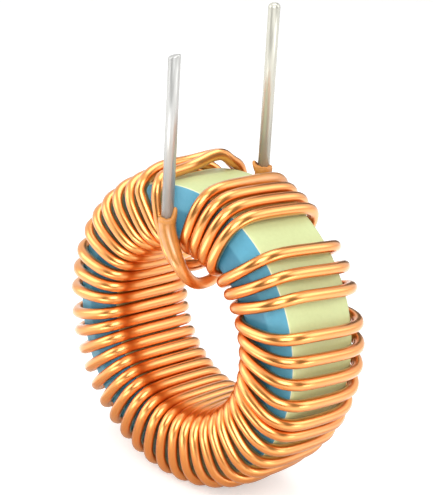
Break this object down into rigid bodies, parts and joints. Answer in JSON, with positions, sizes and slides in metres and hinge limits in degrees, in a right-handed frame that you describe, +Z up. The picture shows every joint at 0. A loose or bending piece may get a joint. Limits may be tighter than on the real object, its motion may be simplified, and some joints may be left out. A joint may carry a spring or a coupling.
{
  "type": "toroidal inductor",
  "caption": "Toroidal inductor: a coated ring core wound round most of its circumference with enamelled copper wire, with two straight tinned leads side by side at the top.",
  "frame": {"origin": "centre of the ring core, on its axis and midway between its two flat faces", "axes": "+Z up along the two leads, +Y along the ring's axis away from its blue face, +X to the right when the blue face is seen from the front"},
  "size_m": [0.0222, 0.0102, 0.0326],
  "materials": {
    "core_coat": "satin",
    "blue_coat": "satin",
    "enamelled_copper": "gloss",
    "tinned_wire": "bright"
  },
  "bodies": {
    "root": {"core": "core_coat", "face_coat": "blue_coat", "winding": "enamelled_copper", "lead_front": "tinned_wire", "lead_rear": "tinned_wire"}
  },
  "joints": []
}
